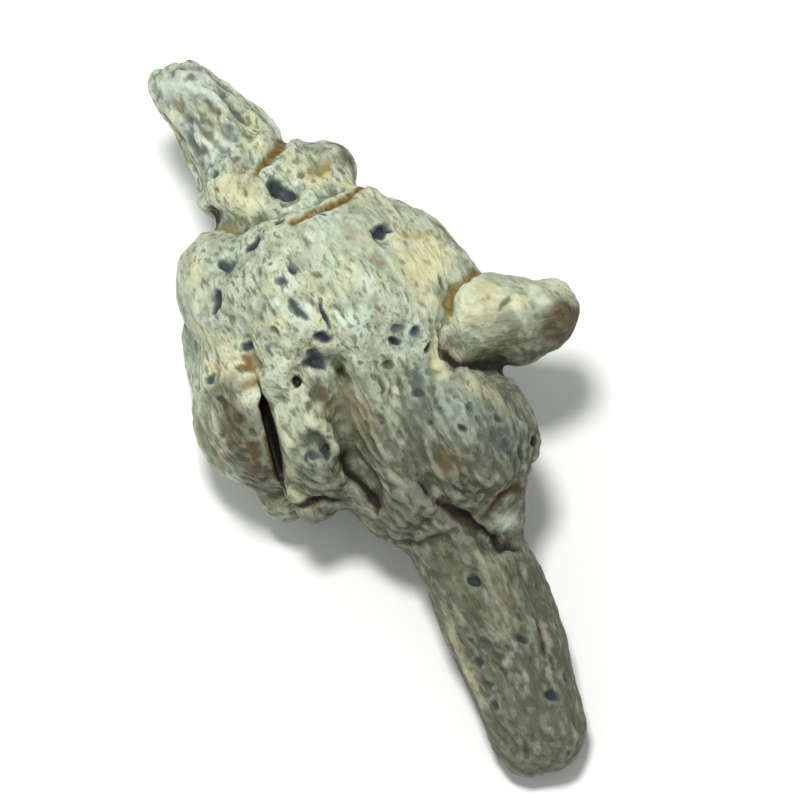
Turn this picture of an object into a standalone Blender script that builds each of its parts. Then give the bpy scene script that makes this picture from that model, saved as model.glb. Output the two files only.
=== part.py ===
"""A dried notoginseng root, lying on its side, as the one piece that it grew as.

+X runs along the root, from the stem stub to the tip of its leg, and +Z is up. Sizes and places
are in millimetres, and MM turns them to Blender's metres. The stations, swellings, creases and
pits are measured from a point inside the body. The finished root is then set down with its
origin on the table, under the middle of its box.
"""

import math
import random

import bmesh
import bpy
import numpy as np
from mathutils import Matrix, Vector, noise
from mathutils.bvhtree import BVHTree

MM = 0.001
NAME = "notoginseng_root"

# The whole root
VOXEL = 0.3
SMOOTHING_ROUNDS = 22
WORN_ROUNDS = 2
TRIANGLES = 11000
FOOT_DEPTH = 0.4
SHORTEST_EDGE = 0.02

# Dried skin: warm grey with a green cast, dull
SKIN_COLOUR = (0.38, 0.36, 0.26, 1.0)
SKIN_ROUGHNESS = 0.82

# The trunk runs from the stem stub through the collar and the swollen body into the leg.
# Each station is x, y, z and the radius there.
TRUNK = (
    (-29.2, -1.5, 11.0, 1.4),
    (-28.3, -1.5, 11.1, 2.4),
    (-26.8, -1.4, 11.3, 2.8),
    (-24.2, -0.9, 11.7, 3.1),
    (-20.6, -0.6, 12.1, 3.6),
    (-18.3, -0.4, 12.3, 3.8),
    (-16.7, -0.2, 12.4, 4.7),
    (-15.1, 0.1, 12.4, 5.4),
    (-13.5, 0.5, 12.3, 5.8),
    (-11.6, 0.8, 12.1, 6.7),
    (-9.9, 0.8, 12.0, 7.9),
    (-7.0, 0.7, 12.0, 9.6),
    (-3.2, 0.3, 11.8, 10.6),
    (0.8, 0.2, 11.4, 9.6),
    (5.1, 0.3, 10.6, 7.4),
    (8.8, 0.4, 9.8, 6.4),
    (12.0, 1.1, 8.9, 5.8),
    (14.7, 1.8, 7.9, 5.1),
    (16.5, 1.8, 7.3, 4.5),
    (19.8, 1.7, 6.3, 4.4),
    (23.7, 1.4, 5.3, 4.4),
    (28.3, 1.0, 4.1, 4.1),
    (32.3, 0.5, 3.2, 3.7),
    (33.9, 0.3, 3.1, 3.0),
    (34.8, 0.3, 3.0, 1.6),
)

# A side rootlet, dried to a stout finger.
FINGER = (
    (0.4, 6.3, 12.6, 3.6),
    (2.3, 9.5, 14.0, 4.1),
    (3.6, 11.2, 14.6, 3.9),
    (4.4, 13.1, 14.9, 3.5),
    (4.7, 14.8, 15.2, 3.1),
    (4.8, 16.2, 15.5, 2.6),
    (4.9, 17.4, 15.7, 1.5),
)

# Swellings of the body: centre, half sizes along the swelling, across it and in height, and
# its turn about Z in degrees.
LOBES = {
    "collar knob": ((-14.3, 4.3, 13.4), (2.6, 3.5, 4.0), 0),
    "collar cheek": ((-15.8, -2.2, 12.4), (2.8, 3.0, 3.6), 0),
    "left shoulder": ((-6.8, -4.6, 11.5), (7.4, 5.5, 6.6), 0),
    "right shoulder": ((-3.4, 6.4, 12.3), (7.4, 4.9, 6.7), 2),
    "shoulder by the finger": ((-1.4, 10.1, 13.2), (3.2, 2.3, 3.0), 0),
    "outer left lobe": ((0.7, -8.1, 9.5), (7.3, 4.7, 6.8), 8),
    "inner left lobe": ((5.2, -5.6, 11.0), (5.4, 3.4, 6.4), 4),
    "left bead": ((8.9, -7.3, 8.8), (1.8, 1.8, 1.9), 0),
    "right lobe": ((9.6, 4.8, 10.9), (7.2, 5.5, 6.8), -4),
    "right bead": ((16.4, 5.2, 9.6), (1.9, 1.8, 2.0), 0),
    "left belly": ((-5.6, -5.6, 5.4), (6.6, 5.0, 5.6), 10),
    "right belly": ((-4.6, 6.0, 5.6), (5.6, 5.2, 5.8), -14),
    "knob below the right lobe": ((6.4, 6.4, 5.6), (4.2, 3.8, 3.8), 0),
    "knob behind the collar": ((-11.4, -3.2, 7.4), (3.4, 3.4, 3.4), 0),
    "wart on the right shoulder": ((-9.6, 7.6, 10.4), (1.9, 1.9, 2.0), 0),
    "wart under the left lobe": ((5.6, -8.6, 5.2), (2.2, 2.2, 2.2), 0),
    "wart under the collar": ((-13.2, 3.4, 7.2), (1.9, 2.0, 2.0), 0),
}

# Creases of the skin: width, depth, the lips' share of that depth, and the points that each
# runs through, near the skin. An open crease runs out over the last part of its length.
CREASE_RUN_OUT = 0.2
CREASES = {
    "dip along the slit": (2.2, 0.6, 0.0, (
        (0.4, -8.2, 17.0), (2.4, -8.6, 16.4), (5.0, -9.0, 15.2), (8.0, -9.3, 11.4),
    )),
    "crack above the slit": (1.1, 0.5, 0.1, (
        (-2.6, -7.8, 18.4), (-1.0, -8.0, 17.6), (1.0, -8.3, 16.8),
    )),
    "groove beside the inner left lobe": (2.2, 1.4, 0.1, (
        (2.0, -2.7, 20.5), (4.0, -2.9, 19.0), (7.5, -3.8, 16.2), (10.0, -4.4, 14.4), (13.5, -3.6, 12.0),
    )),
    "crease under the right lobe": (1.5, 1.0, 0.1, (
        (12.0, -0.6, 15.0), (14.2, 0.4, 14.0), (16.8, 1.7, 12.4), (19.0, 2.6, 10.8), (18.4, 4.6, 8.6),
    )),
    "step above the leg": (1.3, 0.6, 0.2, (
        (15.0, -3.4, 8.6), (15.7, -2.2, 11.4), (15.9, -0.5, 12.6), (16.7, 1.9, 12.3),
    )),
    "ring round the finger": (1.4, 0.6, 0.25, (
        (-0.6, 11.6, 14.0), (0.0, 10.5, 17.0), (1.6, 7.8, 17.8), (3.2, 6.6, 17.6),
        (5.4, 5.6, 16.8), (7.0, 7.0, 16.4), (7.2, 9.4, 14.6), (6.0, 10.6, 12.0),
    )),
    "upper ring of the collar": (1.2, 0.5, 0.35, (
        (-18.2, 2.2, 8.8), (-18.6, 3.4, 12.0), (-17.4, 2.7, 15.6), (-15.8, 0.6, 17.4), (-16.6, -2.8, 16.0),
    )),
    "lower ring of the collar": (1.3, 0.6, 0.3, (
        (-12.0, 7.6, 14.0), (-10.8, 5.4, 17.4), (-9.8, 0.6, 19.6), (-12.0, -3.6, 17.2),
        (-15.8, -5.2, 12.0), (-15.0, -2.2, 7.0), (-13.4, 3.2, 6.0), (-12.2, 6.8, 10.0), (-12.0, 7.6, 14.0),
    )),
    "fold across the finger": (1.2, 0.4, 0.2, (
        (2.0, 13.4, 17.0), (4.6, 13.4, 18.4), (7.2, 13.2, 16.0),
    )),
    "crack on the back": (1.4, 1.2, 0.15, (
        (-8.0, 9.4, 8.0), (-4.4, 11.0, 9.4), (-1.4, 11.4, 8.6), (1.4, 10.0, 6.4),
    )),
    "groove under the belly": (2.6, 0.7, 0.1, (
        (-10.0, 0.4, 3.4), (-4.0, 0.6, 1.4), (2.0, 0.0, 2.0), (8.0, 0.8, 3.4),
    )),
}

# The deep slit between the two left lobes, as the blade that opens it: the middle of its
# mouth, its run along the skin, the way in, and half its length, width and depth.
SLIT_MOUTH = (5.2, -9.0, 14.7)
SLIT_RUN = (0.75, -0.12, -0.62)
SLIT_WAY_IN = (-0.62, 0.12, -0.76)
SLIT_HALF_SIZES = (5.6, 0.5, 3.6)

# Pits where rootlets broke off: place near the skin, radius and depth. A low rim stands round
# each, with its own share of the depth, at its own share of the radius.
PIT_RIM_HEIGHT = 0.2
PIT_RIM_PLACE = 1.2
PITS = (
    ((-12.5, 0.5, 18.3), 1.7, 1.1),
    ((-13.4, 4.2, 17.4), 0.9, 0.5),
    ((-14.9, -5.8, 13.0), 1.0, 0.7),
    ((-9.2, -1.6, 19.6), 1.1, 0.6),
    ((-8.4, -3.6, 19.2), 1.2, 0.6),
    ((-8.6, -6.4, 17.6), 1.1, 0.6),
    ((-6.4, -8.2, 16.8), 1.2, 0.7),
    ((-4.4, 5.2, 21.0), 1.5, 0.8),
    ((-4.2, -2.6, 22.0), 1.0, 0.5),
    ((-1.0, -3.4, 21.4), 1.2, 0.6),
    ((0.4, -1.4, 21.4), 1.1, 0.5),
    ((2.3, -4.5, 19.3), 1.6, 0.9),
    ((2.9, -5.8, 18.2), 1.1, 1.0),
    ((-1.8, -11.0, 15.0), 1.2, 0.6),
    ((3.6, 2.9, 19.4), 1.5, 0.7),
    ((5.2, 0.9, 18.6), 1.0, 0.4),
    ((7.8, -6.3, 16.2), 1.5, 1.0),
    ((11.0, 6.0, 17.2), 1.3, 0.4),
    ((6.4, 16.6, 16.0), 1.0, 0.5),
    ((20.6, 0.6, 10.6), 1.0, 0.5),
    ((26.2, 1.6, 9.4), 0.9, 0.4),
    ((-2.0, 11.6, 12.0), 1.5, 0.8),
    ((-9.0, 3.0, 4.2), 1.4, 0.7),
    ((9.0, 9.6, 8.4), 1.5, 0.8),
    ((11.0, -3.4, 5.0), 1.3, 0.6),
    ((22.0, 4.6, 3.6), 1.1, 0.5),
)

# Small scars strewn over the skin, longer than wide, along the root.
SCARS = 90
SCAR_LENGTHS = (1.2, 2.4)
SCAR_DEPTHS = (0.15, 0.4)
SCAR_NARROWNESS = 0.55
SCAR_SEED = 11

# Lumps and wrinkles of the whole skin: height, and the distance between them along and
# across the root. The lumps are lower beyond the body, on the thin stub and leg.
LUMPS = (1.1, 7.0, 5.5)
WRINKLES = (0.6, 8.0, 2.1)
THIN_SHARE = 0.35
BODY_FROM = -15.0
BODY_TO = 17.0
FADE_LENGTH = 3.0

# Ridges along the stem stub, which sway a little from side to side.
STUB_FROM = -29.6
STUB_TO = -17.5
STUB_RIDGES = 11
STUB_RIDGE_HEIGHT = 0.28
STUB_SWAY = 0.4
STUB_SWAY_LENGTH = 5.0


def clear_scene():
    """Removes every object, so that the root is alone."""
    for thing in list(bpy.data.objects):
        bpy.data.objects.remove(thing)


def limb_mesh(stations):
    """A round limb whose radius follows its stations, with both ends filled."""
    curve = bpy.data.curves.new("limb", "CURVE")
    curve.dimensions = "3D"
    curve.bevel_depth = MM
    curve.bevel_resolution = 6
    curve.use_fill_caps = True
    spline = curve.splines.new("BEZIER")
    spline.resolution_u = 6
    spline.radius_interpolation = "CARDINAL"
    spline.bezier_points.add(len(stations) - 1)
    for point, (x, y, z, radius) in zip(spline.bezier_points, stations):
        point.co = Vector((x, y, z)) * MM
        point.radius = radius
        point.handle_left_type = "AUTO"
        point.handle_right_type = "AUTO"
    guide = bpy.data.objects.new("limb", curve)
    bpy.context.scene.collection.objects.link(guide)
    graph = bpy.context.evaluated_depsgraph_get()
    mesh = bpy.data.meshes.new_from_object(guide.evaluated_get(graph))
    bpy.data.objects.remove(guide)
    return mesh


def add_limb(shape, stations):
    """Adds a limb to the shape, with its end caps welded on."""
    shape.from_mesh(limb_mesh(stations))
    bmesh.ops.remove_doubles(shape, verts=shape.verts, dist=0.001 * MM)


def add_lobe(shape, centre, half_sizes, turn):
    """Adds one ellipsoid to the shape."""
    place = Matrix.Translation(Vector(centre) * MM)
    spin = Matrix.Rotation(math.radians(turn), 4, "Z")
    size = Matrix.Diagonal(Vector((*half_sizes, 1.0)))
    bmesh.ops.create_uvsphere(
        shape, u_segments=32, v_segments=20, radius=MM, matrix=place @ spin @ size
    )


def raw_root():
    """The trunk, finger and swellings as closed shapes that run into each other."""
    shape = bmesh.new()
    add_limb(shape, TRUNK)
    add_limb(shape, FINGER)
    for centre, half_sizes, turn in LOBES.values():
        add_lobe(shape, centre, half_sizes, turn)
    mesh = bpy.data.meshes.new(NAME)
    shape.to_mesh(mesh)
    shape.free()
    home = bpy.data.collections.new(NAME)
    bpy.context.scene.collection.children.link(home)
    root = bpy.data.objects.new(NAME, mesh)
    home.objects.link(root)
    return root


def settle_modifiers(root):
    """Makes the object's modifiers part of its mesh."""
    graph = bpy.context.evaluated_depsgraph_get()
    mesh = bpy.data.meshes.new_from_object(root.evaluated_get(graph))
    root.modifiers.clear()
    old = root.data
    root.data = mesh
    bpy.data.meshes.remove(old)
    mesh.name = NAME


def ease(root, rounds):
    """Smooths the skin a little with each round."""
    smooth = root.modifiers.new("ease", "SMOOTH")
    smooth.factor = 0.5
    smooth.iterations = rounds
    settle_modifiers(root)


def grow_together(root):
    """Makes one skin over the overlapping shapes and eases the creases between them."""
    skin = root.modifiers.new("skin", "REMESH")
    skin.mode = "VOXEL"
    skin.voxel_size = VOXEL * MM
    ease(root, SMOOTHING_ROUNDS)


def skin_of(root):
    """The skin's points, its outward directions and a tree that finds the nearest place on it."""
    mesh = root.data
    points = np.empty(len(mesh.vertices) * 3)
    mesh.vertices.foreach_get("co", points)
    points = points.reshape(-1, 3) / MM
    outward = np.array([vertex.normal[:] for vertex in mesh.vertices])
    faces = [tuple(face.vertices) for face in mesh.polygons]
    tree = BVHTree.FromPolygons([Vector(point) for point in points], faces)
    return points, outward, tree


def on_skin(tree, place):
    """The place of the skin that is nearest to a given place."""
    return np.array(tree.find_nearest(Vector(place))[0])


def path_on_skin(tree, places, steps=8):
    """A line over the skin through the given places, as closely spaced points."""
    ends = [Vector(place) for place in places]
    line = []
    for start, end in zip(ends, ends[1:]):
        for step in range(steps):
            line.append(on_skin(tree, start.lerp(end, step / steps)))
    line.append(on_skin(tree, ends[-1]))
    return np.array(line)


def crease_height(points, line, width, depth, lips, closed):
    """How far a crease lowers each point, with raised lips along it and shallow ends."""
    gaps = np.linalg.norm(points[:, None, :] - line[None, :, :], axis=2)
    nearest = gaps.argmin(axis=1)
    distance = gaps.min(axis=1) / (width / 2)
    along = nearest / (len(line) - 1)
    to_end = np.minimum(along, 1 - along)
    fade = 1.0 if closed else np.clip(to_end / CREASE_RUN_OUT, CREASE_RUN_OUT, 1)
    hollow = -np.exp(-distance**2)
    rim = lips * np.exp(-((distance - 2) ** 2))
    return depth * fade * (hollow + rim)


def pit_height(points, centre, radius, depth):
    """How far a pit lowers each point, with a low rim round it."""
    distance = np.linalg.norm(points - centre, axis=1) / radius
    hollow = -np.exp(-2 * distance**2)
    rim = PIT_RIM_HEIGHT * np.exp(-8 * (distance - PIT_RIM_PLACE) ** 2)
    return depth * (hollow + rim)


def scar_heights(points):
    """How far the strewn scars lower each point."""
    draw = random.Random(SCAR_SEED)
    heights = np.zeros(len(points))
    for _ in range(SCARS):
        centre = points[draw.randrange(len(points))]
        length = draw.uniform(*SCAR_LENGTHS)
        depth = draw.uniform(*SCAR_DEPTHS)
        offset = (points - centre) / (length / 2)
        offset[:, 1:] /= SCAR_NARROWNESS
        heights -= depth * np.exp(-np.sum(offset**2, axis=1))
    return heights


def noise_heights(points, height, along, across):
    """Smooth random relief, with its own spacing along the root and across it."""
    stretch = np.array((along, across, across))
    return height * np.array([noise.noise(Vector(place)) for place in points / stretch])


def stub_heights(points):
    """The lengthwise ridges of the stem stub, which fade out at its end and at the collar."""
    along = points[:, 0]
    _, middle_y, middle_z, _ = TRUNK[4]
    angle = np.arctan2(points[:, 1] - middle_y, points[:, 2] - middle_z)
    bends = [Vector((x / STUB_SWAY_LENGTH, a / 2, 0)) for x, a in zip(along, angle)]
    sway = STUB_SWAY * np.array([noise.noise(bend) for bend in bends])
    to_end = np.minimum(STUB_TO - along, along - STUB_FROM)
    share = np.clip(to_end / FADE_LENGTH, 0, 1)
    return STUB_RIDGE_HEIGHT * share * np.cos(STUB_RIDGES * (angle + sway))


def body_share(points):
    """One over the body, and less over the thin stub and leg, whose lumps are smaller."""
    along = points[:, 0]
    beyond = np.maximum(BODY_FROM - along, along - BODY_TO)
    return 1 - (1 - THIN_SHARE) * np.clip(beyond / FADE_LENGTH, 0, 1)


def weather(root):
    """Raises the skin's lumps and wrinkles, and sinks its creases, pits and scars."""
    points, outward, tree = skin_of(root)
    heights = noise_heights(points, *LUMPS) * body_share(points) + noise_heights(points, *WRINKLES)
    heights += stub_heights(points) + scar_heights(points)
    for width, depth, lips, places in CREASES.values():
        line = path_on_skin(tree, places)
        closed = places[0] == places[-1]
        heights += crease_height(points, line, width, depth, lips, closed)
    for place, radius, depth in PITS:
        heights += pit_height(points, on_skin(tree, place), radius, depth)
    moved = (points + outward * heights[:, None]) * MM
    root.data.vertices.foreach_set("co", moved.ravel())
    root.data.update()
    ease(root, WORN_ROUNDS)


def simplify(root):
    """Brings the skin down to the triangles that its shape needs."""
    faces = sum(len(face.vertices) - 2 for face in root.data.polygons)
    thin = root.modifiers.new("thin", "DECIMATE")
    thin.ratio = TRIANGLES / faces
    thin.use_collapse_triangulate = True
    settle_modifiers(root)


def slit_blade():
    """The thin blade, as a flattened ball, that opens the slit between the left lobes."""
    run = Vector(SLIT_RUN).normalized()
    across = run.cross(Vector(SLIT_WAY_IN)).normalized()
    axes = Matrix((run, across, run.cross(across))).transposed().to_4x4()
    size = Matrix.Diagonal(Vector((*SLIT_HALF_SIZES, 1.0)))
    shape = bmesh.new()
    bmesh.ops.create_uvsphere(
        shape, u_segments=24, v_segments=12, radius=MM,
        matrix=Matrix.Translation(Vector(SLIT_MOUTH) * MM) @ axes @ size,
    )
    mesh = bpy.data.meshes.new("slit_blade")
    shape.to_mesh(mesh)
    shape.free()
    blade = bpy.data.objects.new("slit_blade", mesh)
    blade.hide_render = True
    blade.display_type = "WIRE"
    cutters = bpy.data.collections.new("cutters")
    bpy.context.scene.collection.children.link(cutters)
    cutters.objects.link(blade)
    return blade


def open_slit(root):
    """Cuts the slit and takes its blade away."""
    blade = slit_blade()
    cut = root.modifiers.new("slit", "BOOLEAN")
    cut.operation = "DIFFERENCE"
    cut.object = blade
    settle_modifiers(root)
    bpy.data.objects.remove(blade)


def set_down(root):
    """Presses flat what touches the table, and moves the origin under the root's middle."""
    shape = bmesh.new()
    shape.from_mesh(root.data)
    lowest = min(vertex.co.z for vertex in shape.verts)
    table = Vector((0, 0, lowest + FOOT_DEPTH * MM))
    everything = shape.verts[:] + shape.edges[:] + shape.faces[:]
    bmesh.ops.bisect_plane(shape, geom=everything, plane_co=table, plane_no=(0, 0, -1), clear_outer=True)
    rim = [edge for edge in shape.edges if edge.is_boundary]
    bmesh.ops.holes_fill(shape, edges=rim)
    bmesh.ops.dissolve_degenerate(shape, edges=shape.edges, dist=SHORTEST_EDGE * MM)
    bmesh.ops.triangulate(shape, faces=[face for face in shape.faces if len(face.verts) > 3])
    xs = [vertex.co.x for vertex in shape.verts]
    ys = [vertex.co.y for vertex in shape.verts]
    middle = Vector(((min(xs) + max(xs)) / 2, (min(ys) + max(ys)) / 2, table.z))
    bmesh.ops.translate(shape, verts=shape.verts, vec=-middle)
    shape.to_mesh(root.data)
    shape.free()


def dress(root):
    """Gives the root its dull grey skin."""
    skin = bpy.data.materials.new("dried_skin")
    skin.use_nodes = True
    shader = skin.node_tree.nodes["Principled BSDF"]
    shader.inputs["Base Color"].default_value = SKIN_COLOUR
    shader.inputs["Roughness"].default_value = SKIN_ROUGHNESS
    shader.inputs["Metallic"].default_value = 0.0
    root.data.materials.append(skin)
    root.data.shade_smooth()


def main():
    clear_scene()
    root = raw_root()
    grow_together(root)
    weather(root)
    simplify(root)
    open_slit(root)
    set_down(root)
    dress(root)


main()
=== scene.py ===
"""A dried notoginseng root lying on a pale floor: its wrinkled skin, its pits and its colours."""

import math
import random

import bpy
import numpy as np
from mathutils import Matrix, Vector, noise
from mathutils.bvhtree import BVHTree


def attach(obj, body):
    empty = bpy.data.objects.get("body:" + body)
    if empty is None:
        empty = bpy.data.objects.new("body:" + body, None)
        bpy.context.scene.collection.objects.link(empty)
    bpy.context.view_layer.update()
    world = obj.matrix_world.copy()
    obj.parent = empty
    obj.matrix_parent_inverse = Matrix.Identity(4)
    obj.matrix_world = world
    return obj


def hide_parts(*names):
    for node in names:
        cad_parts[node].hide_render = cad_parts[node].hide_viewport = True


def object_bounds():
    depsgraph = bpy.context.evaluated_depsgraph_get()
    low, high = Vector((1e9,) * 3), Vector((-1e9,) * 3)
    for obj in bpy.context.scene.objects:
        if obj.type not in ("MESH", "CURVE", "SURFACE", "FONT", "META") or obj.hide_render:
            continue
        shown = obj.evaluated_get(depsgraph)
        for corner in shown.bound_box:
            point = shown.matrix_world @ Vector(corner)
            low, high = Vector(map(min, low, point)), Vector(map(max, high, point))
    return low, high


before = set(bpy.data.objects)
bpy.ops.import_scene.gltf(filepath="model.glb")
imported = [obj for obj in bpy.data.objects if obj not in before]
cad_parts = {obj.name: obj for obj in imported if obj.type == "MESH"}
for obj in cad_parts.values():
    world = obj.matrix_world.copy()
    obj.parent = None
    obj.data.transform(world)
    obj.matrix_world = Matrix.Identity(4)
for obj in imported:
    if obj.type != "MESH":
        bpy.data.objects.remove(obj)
cad_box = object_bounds()


# The root as it grew: one body with a stem stub, a collar, knobbly shoulders, lobes and a leg.
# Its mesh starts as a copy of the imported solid, remeshed finely enough to carry wrinkles.
# The places below are in millimetres from the heart of the root, as in the solid's own plan.
MM = 0.001
HEART = np.array((-2.80, -2.24, -0.11))
SOLID = "notoginseng_root"
WELD = 0.001 * MM
SKIN_VOXEL = 0.16 * MM
EASING = 0.5
EASING_ROUNDS = 34

bpy.ops.object.select_all(action="DESELECT")
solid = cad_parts[SOLID]
root = bpy.data.objects.new("root", solid.data.copy())
bpy.context.scene.collection.objects.link(root)
bpy.context.view_layer.objects.active = root
root.select_set(True)
bpy.ops.object.mode_set(mode="EDIT")
bpy.ops.mesh.select_all(action="SELECT")
bpy.ops.mesh.remove_doubles(threshold=WELD)
bpy.ops.object.mode_set(mode="OBJECT")

remesh = root.modifiers.new("fine skin", "REMESH")
remesh.mode = "VOXEL"
remesh.voxel_size = SKIN_VOXEL
bpy.ops.object.modifier_apply(modifier=remesh.name)


def ease(rounds):
    """Smooths the root's skin a little with each round."""
    smooth = root.modifiers.new("ease", "SMOOTH")
    smooth.factor = EASING
    smooth.iterations = rounds
    bpy.ops.object.modifier_apply(modifier=smooth.name)


def read_skin():
    """The skin's points in millimetres from the heart, and its outward directions."""
    count = len(root.data.vertices)
    places = np.empty(count * 3)
    outward = np.empty(count * 3)
    root.data.vertices.foreach_get("co", places)
    root.data.vertices.foreach_get("normal", outward)
    return places.reshape(-1, 3) / MM - HEART, outward.reshape(-1, 3)


ease(EASING_ROUNDS)
skin, outward = read_skin()
skin_tree = BVHTree.FromPolygons(
    [Vector(place) for place in skin], [tuple(face.vertices) for face in root.data.polygons]
)


# The run of the grain: along the trunk, and along the finger-like rootlet beyond its ring.
# Wrinkles, streaks and scars are longer this way, so each point of the skin keeps a place
# measured along the grain first and then across it.
FINGER_ROOT = np.array((2.4, 8.6, 14.0))
FINGER_RUN = np.array((0.26, 0.93, 0.26))
FINGER_ACROSS = np.array((0.95, -0.29, 0.1))
FINGER_FROM = 0.3
FINGER_REACH = 6.5

finger_run = FINGER_RUN / np.linalg.norm(FINGER_RUN)
finger_across = FINGER_ACROSS - finger_run * (FINGER_ACROSS @ finger_run)
finger_across /= np.linalg.norm(finger_across)
from_finger = skin - FINGER_ROOT
along_finger = from_finger @ finger_run
off_finger = np.linalg.norm(from_finger - along_finger[:, None] * finger_run, axis=1)
on_finger = (along_finger > FINGER_FROM) & (off_finger < FINGER_REACH)
finger_height = from_finger @ np.cross(finger_run, finger_across)
finger_grain = np.stack((along_finger, from_finger @ finger_across, finger_height), axis=1)
grain = np.where(on_finger[:, None], finger_grain, skin)


# The forms of the skin are kept as one height per point, and its colours as one share per
# point of each tint, which the marks below raise. Random waves keep the marks uneven.
TINTS = (
    # the darker lower half, partly painted shade, cool casts, and warm patches
    "shade_and_dull_skin", "blue", "teal", "olive", "tan", "cream", "gold",
    # pale spots, partly painted highlight, and smooth skin without flecks
    "light", "plain",
    # scars, pits and cracks, the black in cracks partly painted shade
    "speck", "slate", "rust", "dark",
)
# the random waves: their seed, how far apart two of them are read, and the sizes of the
# wobbles that make outlines ragged and widths uneven
WAVE_SEED = 11
WAVE_STEP = np.array((17.3, 5.1, 9.7))
RAGGED_SIZE = 0.9
RAGGED_REACH = 0.2
UNEVEN_SIZE = 1.1
ROUGH_SIZE = 0.6
UNEVENNESS = 0.5

noise.seed_set(WAVE_SEED)
relief = np.zeros(len(skin))
tints = {name: np.zeros(len(skin)) for name in TINTS}


def ramp(values, low, high):
    """Rises smoothly from zero at low to one at high."""
    share = np.clip((values - low) / (high - low), 0, 1)
    return share * share * (3 - 2 * share)


def ripple(places, along, across, wave):
    """Smooth random values, spaced along the grain and across it, different for each wave."""
    stretch = np.array((along, across, across))
    return np.array([noise.noise(Vector(place)) for place in places / stretch + WAVE_STEP * wave])


def waver(places, size, reach):
    """The same places, each pushed a little aside, so that straight outlines turn ragged."""
    pushes = [noise.noise_vector(Vector(place)) for place in places / size]
    return places + reach * np.array(pushes)


def tint(name, amount):
    """Raises one of the skin's tints to the given amount."""
    tints[name] = np.maximum(tints[name], amount)


ragged = waver(skin, RAGGED_SIZE, RAGGED_REACH)
uneven = 1 + UNEVENNESS * ripple(skin, UNEVEN_SIZE, UNEVEN_SIZE, wave=13)
rough = 1 + UNEVENNESS * ripple(skin, ROUGH_SIZE, ROUGH_SIZE, wave=14)


# Broad forms that the skin has beyond the solid: the finger tapers on its upper side and runs
# into the shoulder without a gap, the stub ends in small knobs, and the left bead stands out.
SWELLS = (
    # place, reach, height
    ((0.8, 13.2, 17.0), 2.0, -0.4),
    ((1.9, 14.6, 17.2), 2.4, -0.6),
    ((3.9, 15.6, 18.4), 2.6, -0.7),
    ((7.8, 13.8, 15.6), 2.2, -0.5),
    ((2.2, 6.7, 17.4), 1.3, 0.4),
    ((3.5, 6.3, 16.5), 1.4, 0.5),
    ((-26.9, -0.9, 14.4), 0.9, 0.4),
    ((-26.0, 0.4, 14.0), 0.7, 0.3),
    ((8.7, -8.3, 10.4), 0.9, 0.35),
)


def on_skin(place):
    """The point of the skin that is nearest to a place, and the outward direction there."""
    point, normal = skin_tree.find_nearest(Vector(place))[:2]
    return np.array(point), np.array(normal)


def around(place, reach):
    """How near each point is to a place: one at it, and fading over the reach."""
    return np.exp(-np.sum((skin - place) ** 2, axis=1) / reach**2)


swelling = np.zeros(skin.shape)
for place, reach, height in SWELLS:
    centre, normal = on_skin(place)
    swelling += height * around(centre, reach)[:, None] * normal
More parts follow.
